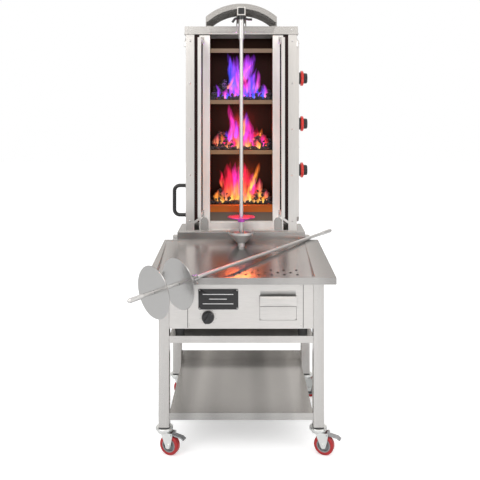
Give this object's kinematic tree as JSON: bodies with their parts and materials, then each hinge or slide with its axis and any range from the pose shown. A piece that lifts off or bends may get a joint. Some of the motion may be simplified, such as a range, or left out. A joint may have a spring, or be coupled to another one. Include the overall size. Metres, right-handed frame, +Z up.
{
  "type": "gas doner kebab grill",
  "caption": "Upright gas grill with a motor-turned spit, open burner tower with swing wings, sloped drip tray with a drawer, on a wheeled stand with shelves.",
  "frame": {"origin": "middle of the footprint on the floor, under the casters' wheels", "axes": "+Z up, +X to the right and +Y to the back of a person in front of the grill"},
  "size_m": [0.7882, 0.8278, 1.747],
  "materials": {
    "stainless": "brushed stainless steel sheet",
    "polished_steel": "ground and polished stainless steel",
    "zinc_plate": "bright zinc plated pressed steel",
    "red_tyre": "red rubber tread",
    "grey_hub": "grey moulded nylon",
    "black_plastic": "black moulded plastic",
    "black_rubber": "black rubber",
    "motor_grey": "grey enamel on cast metal",
    "dark_glass": "dark heat-proof glass",
    "fired_steel": "steel tinted by heat",
    "burner_steel": "dull steel tube",
    "coal": "dark rough ceramic coals",
    "brass": "turned brass"
  },
  "bodies": {
    "stand": {"stand_legs": "stainless", "leg_plugs": "black_plastic", "upper_shelf": "stainless", "lower_shelf": "stainless", "caster_heads": "zinc_plate", "base_housing": "stainless", "front_panel": "stainless", "drawer_runners": "stainless", "rubber_feet": "black_rubber", "control_switch": "black_plastic", "gear_motor": "motor_grey", "motor_bracket": "stainless", "worktop_tray": "stainless", "rear_deck": "stainless"},
    "drawer": {"drawer_box": "stainless", "drawer_front": "stainless"},
    "motor_knob": {"control_knob": "black_plastic"},
    "spit": {"spit_cup": "polished_steel", "spit_rod": "polished_steel", "spit_disc": "polished_steel"},
    "tower": {"tower_shell": "stainless", "tower_cap": "stainless", "firebox_liner": "fired_steel", "side_windows": "dark_glass", "burner_partitions": "fired_steel", "burner_tubes": "burner_steel", "coal_beds": "coal", "gas_manifold": "brass", "gas_valves": "brass", "service_cover": "stainless", "tower_handle": "black_plastic", "spit_arch": "stainless", "arm_guide": "stainless", "wing_brackets": "stainless"},
    "wing_left": {"wing_left": "stainless", "wing_glass_left": "dark_glass"},
    "wing_right": {"wing_right": "stainless", "wing_glass_right": "dark_glass"},
    "arm": {"top_arm": "stainless"},
    "sleeve": {"top_sleeve": "polished_steel"},
    "lever": {"lock_lever": "black_plastic"},
    "spare_spit": {"spare_rod": "polished_steel", "spare_discs": "polished_steel"},
    "valve_knob_top": {"valve_knob_top": "black_plastic"},
    "valve_knob_middle": {"valve_knob_middle": "black_plastic"},
    "valve_knob_bottom": {"valve_knob_bottom": "black_plastic"},
    "caster_front_left": {"caster_fork_front_left": "zinc_plate"},
    "wheel_front_left": {"caster_tyre_front_left": "red_tyre", "caster_hub_front_left": "grey_hub"},
    "pedal_front_left": {"brake_pedal_front_left": "black_plastic"},
    "caster_front_right": {"caster_fork_front_right": "zinc_plate"},
    "wheel_front_right": {"caster_tyre_front_right": "red_tyre", "caster_hub_front_right": "grey_hub"},
    "pedal_front_right": {"brake_pedal_front_right": "black_plastic"},
    "caster_rear_left": {"caster_fork_rear_left": "zinc_plate"},
    "wheel_rear_left": {"caster_tyre_rear_left": "red_tyre", "caster_hub_rear_left": "grey_hub"},
    "caster_rear_right": {"caster_fork_rear_right": "zinc_plate"},
    "wheel_rear_right": {"caster_tyre_rear_right": "red_tyre", "caster_hub_rear_right": "grey_hub"}
  },
  "joints": [
    {"name": "tower_slide", "type": "slide", "parent": "stand", "child": "tower", "axis": [0, 1, 0], "range_m": [0, 0.04]},
    {"name": "arm_slide", "type": "slide", "parent": "tower", "child": "arm", "axis": [0, 1, 0], "range_m": [-0.04, 0]},
    {"name": "sleeve_lift", "type": "slide", "parent": "arm", "child": "sleeve", "axis": [0, 0, 1], "range_m": [0, 0.025]},
    {"name": "lever_turn", "type": "hinge", "parent": "arm", "child": "lever", "pos_m": [-0.01273, 0.15287, 1.673], "axis": [0, 0, 1], "range_deg": [-40, 40]},
    {"name": "spit_spin", "type": "hinge", "parent": "stand", "child": "spit", "pos_m": [-0.01273, 0.15287, 0.7], "axis": [0, 0, 1], "continuous": true},
    {"name": "drawer_slide", "type": "slide", "parent": "stand", "child": "drawer", "axis": [0, -1, 0], "range_m": [0, 0.24]},
    {"name": "motor_knob_turn", "type": "hinge", "parent": "stand", "child": "motor_knob", "pos_m": [-0.13623, -0.17313, 0.512], "axis": [0, -1, 0], "range_deg": [-270, 0]},
    {"name": "wing_left_swing", "type": "hinge", "parent": "tower", "child": "wing_left", "pos_m": [-0.18673, 0.21987, 1.2], "axis": [0, 0, 1], "range_deg": [-90, 90]},
    {"name": "wing_right_swing", "type": "hinge", "parent": "tower", "child": "wing_right", "pos_m": [0.16127, 0.21987, 1.2], "axis": [0, 0, 1], "range_deg": [-90, 90]},
    {"name": "spare_spit_lift", "type": "slide", "parent": "stand", "child": "spare_spit", "axis": [0, 0, 1], "range_m": [0, 0.08]},
    {"name": "valve_knob_top_turn", "type": "hinge", "parent": "tower", "child": "valve_knob_top", "pos_m": [0.24127, 0.30187, 1.426], "axis": [1, 0, 0], "range_deg": [0, 180]},
    {"name": "valve_knob_middle_turn", "type": "hinge", "parent": "tower", "child": "valve_knob_middle", "pos_m": [0.24127, 0.30187, 1.2235], "axis": [1, 0, 0], "range_deg": [0, 180]},
    {"name": "valve_knob_bottom_turn", "type": "hinge", "parent": "tower", "child": "valve_knob_bottom", "pos_m": [0.24127, 0.30187, 1.016], "axis": [1, 0, 0], "range_deg": [0, 180]},
    {"name": "caster_front_left_swivel", "type": "hinge", "parent": "stand", "child": "caster_front_left", "pos_m": [-0.29973, -0.15813, 0.085], "axis": [0, 0, 1], "continuous": true},
    {"name": "wheel_front_left_roll", "type": "hinge", "parent": "caster_front_left", "child": "wheel_front_left", "pos_m": [-0.2784, -0.16674, 0.0375], "axis": [0.3746, 0.9272, 0], "continuous": true},
    {"name": "brake_pedal_front_left_press", "type": "hinge", "parent": "caster_front_left", "child": "pedal_front_left", "pos_m": [-0.26635, -0.17161, 0.079], "axis": [0.3746, 0.9272, 0], "range_deg": [0, 12]},
    {"name": "caster_front_right_swivel", "type": "hinge", "parent": "stand", "child": "caster_front_right", "pos_m": [0.27427, -0.15813, 0.085], "axis": [0, 0, 1], "continuous": true},
    {"name": "wheel_front_right_roll", "type": "hinge", "parent": "caster_front_right", "child": "wheel_front_right", "pos_m": [0.2956, -0.16674, 0.0375], "axis": [0.3746, 0.9272, 0], "continuous": true},
    {"name": "brake_pedal_front_right_press", "type": "hinge", "parent": "caster_front_right", "child": "pedal_front_right", "pos_m": [0.30765, -0.17161, 0.079], "axis": [0.3746, 0.9272, 0], "range_deg": [0, 12]},
    {"name": "caster_rear_left_swivel", "type": "hinge", "parent": "stand", "child": "caster_rear_left", "pos_m": [-0.29973, 0.32187, 0.085], "axis": [0, 0, 1], "continuous": true},
    {"name": "wheel_rear_left_roll", "type": "hinge", "parent": "caster_rear_left", "child": "wheel_rear_left", "pos_m": [-0.2784, 0.31326, 0.0375], "axis": [0.3746, 0.9272, 0], "continuous": true},
    {"name": "caster_rear_right_swivel", "type": "hinge", "parent": "stand", "child": "caster_rear_right", "pos_m": [0.27427, 0.32187, 0.085], "axis": [0, 0, 1], "continuous": true},
    {"name": "wheel_rear_right_roll", "type": "hinge", "parent": "caster_rear_right", "child": "wheel_rear_right", "pos_m": [0.2956, 0.31326, 0.0375], "axis": [0.3746, 0.9272, 0], "continuous": true}
  ],
  "couplings": [
    {"joint": "arm_slide", "follows": "tower_slide", "ratio": -1}
  ]
}
